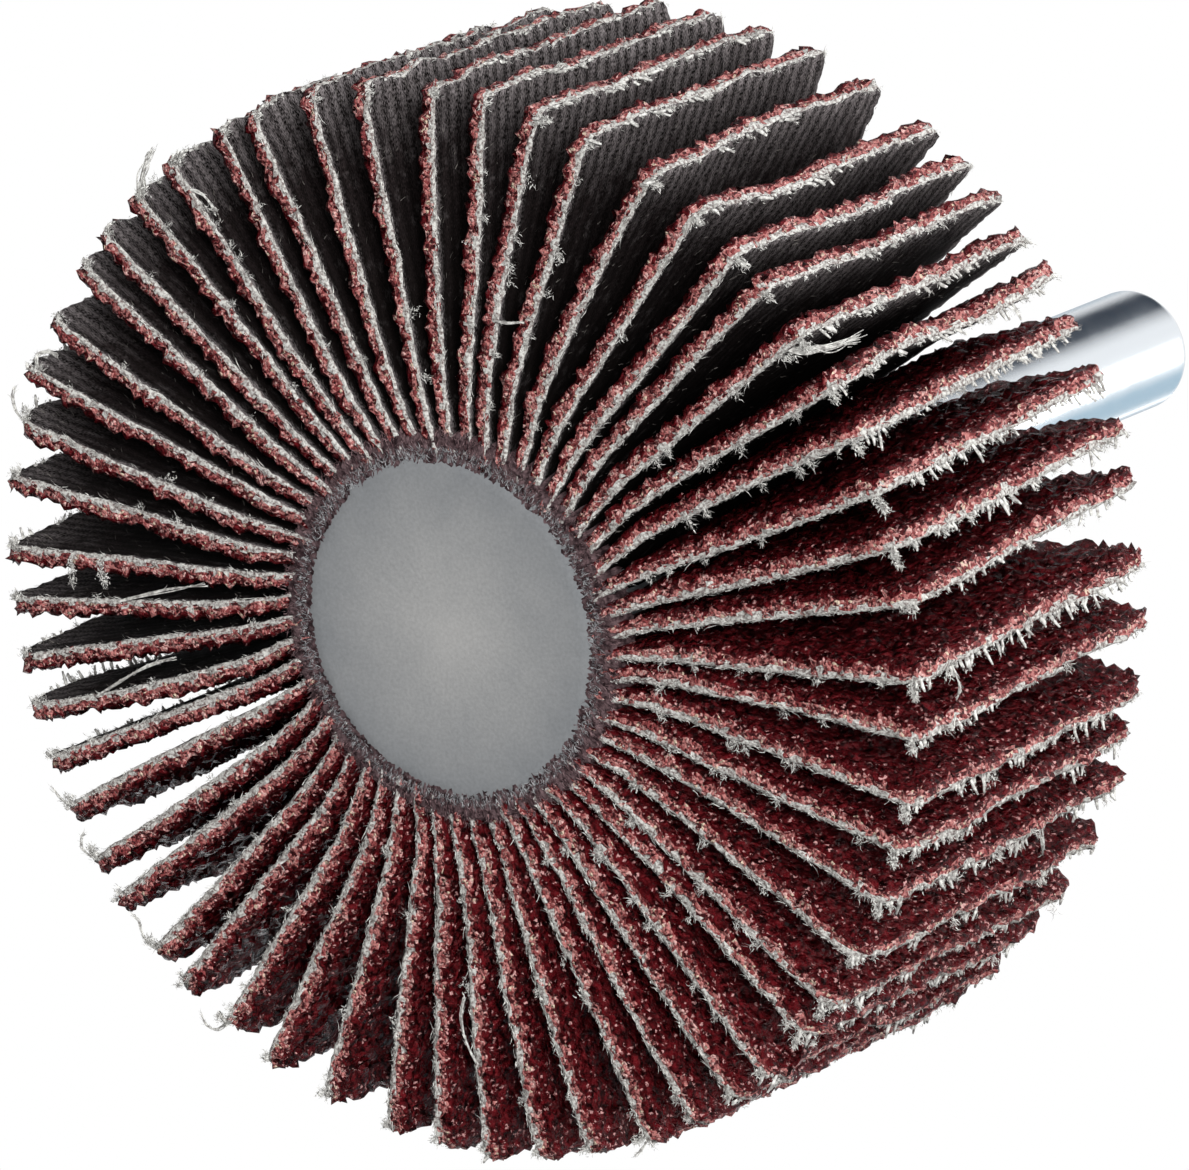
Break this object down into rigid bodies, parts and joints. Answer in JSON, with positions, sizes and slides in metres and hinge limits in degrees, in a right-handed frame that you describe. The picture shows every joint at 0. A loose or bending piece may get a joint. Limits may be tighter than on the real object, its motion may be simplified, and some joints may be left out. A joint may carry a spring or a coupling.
{
  "type": "flap wheel",
  "caption": "Flap wheel: radial flaps of coarse coated abrasive cloth round a cast resin core, on a straight steel shank.",
  "frame": {"origin": "middle of the front face, which the wheel stands on", "axes": "+Z along the axis of rotation, from the front face to the shank's free end; +X and +Y across the wheel, with angles counted from +X towards +Y"},
  "size_m": [0.05, 0.05, 0.06],
  "materials": {
    "abrasive_flap": "coarse dark red grain on one side, grey-brown cloth on the other, pale frayed edges",
    "cast_resin": "smooth matte grey cast resin",
    "plated_steel": "bright plated, lightly polished"
  },
  "bodies": {
    "root": {"flap_01": "abrasive_flap", "flap_02": "abrasive_flap", "flap_03": "abrasive_flap", "flap_04": "abrasive_flap", "flap_05": "abrasive_flap", "flap_06": "abrasive_flap", "flap_07": "abrasive_flap", "flap_08": "abrasive_flap", "flap_09": "abrasive_flap", "flap_10": "abrasive_flap", "flap_11": "abrasive_flap", "flap_12": "abrasive_flap", "flap_13": "abrasive_flap", "flap_14": "abrasive_flap", "flap_15": "abrasive_flap", "flap_16": "abrasive_flap", "flap_17": "abrasive_flap", "flap_18": "abrasive_flap", "flap_19": "abrasive_flap", "flap_20": "abrasive_flap", "flap_21": "abrasive_flap", "flap_22": "abrasive_flap", "flap_23": "abrasive_flap", "flap_24": "abrasive_flap", "flap_25": "abrasive_flap", "flap_26": "abrasive_flap", "flap_27": "abrasive_flap", "flap_28": "abrasive_flap", "flap_29": "abrasive_flap", "flap_30": "abrasive_flap", "flap_31": "abrasive_flap", "flap_32": "abrasive_flap", "flap_33": "abrasive_flap", "flap_34": "abrasive_flap", "flap_35": "abrasive_flap", "flap_36": "abrasive_flap", "flap_37": "abrasive_flap", "flap_38": "abrasive_flap", "flap_39": "abrasive_flap", "flap_40": "abrasive_flap", "flap_41": "abrasive_flap", "flap_42": "abrasive_flap", "flap_43": "abrasive_flap", "flap_44": "abrasive_flap", "flap_45": "abrasive_flap", "flap_46": "abrasive_flap", "flap_47": "abrasive_flap", "flap_48": "abrasive_flap", "flap_49": "abrasive_flap", "flap_50": "abrasive_flap", "flap_51": "abrasive_flap", "flap_52": "abrasive_flap", "flap_53": "abrasive_flap", "flap_54": "abrasive_flap", "flap_55": "abrasive_flap", "flap_56": "abrasive_flap", "resin_core": "cast_resin", "shank": "plated_steel"}
  },
  "joints": []
}
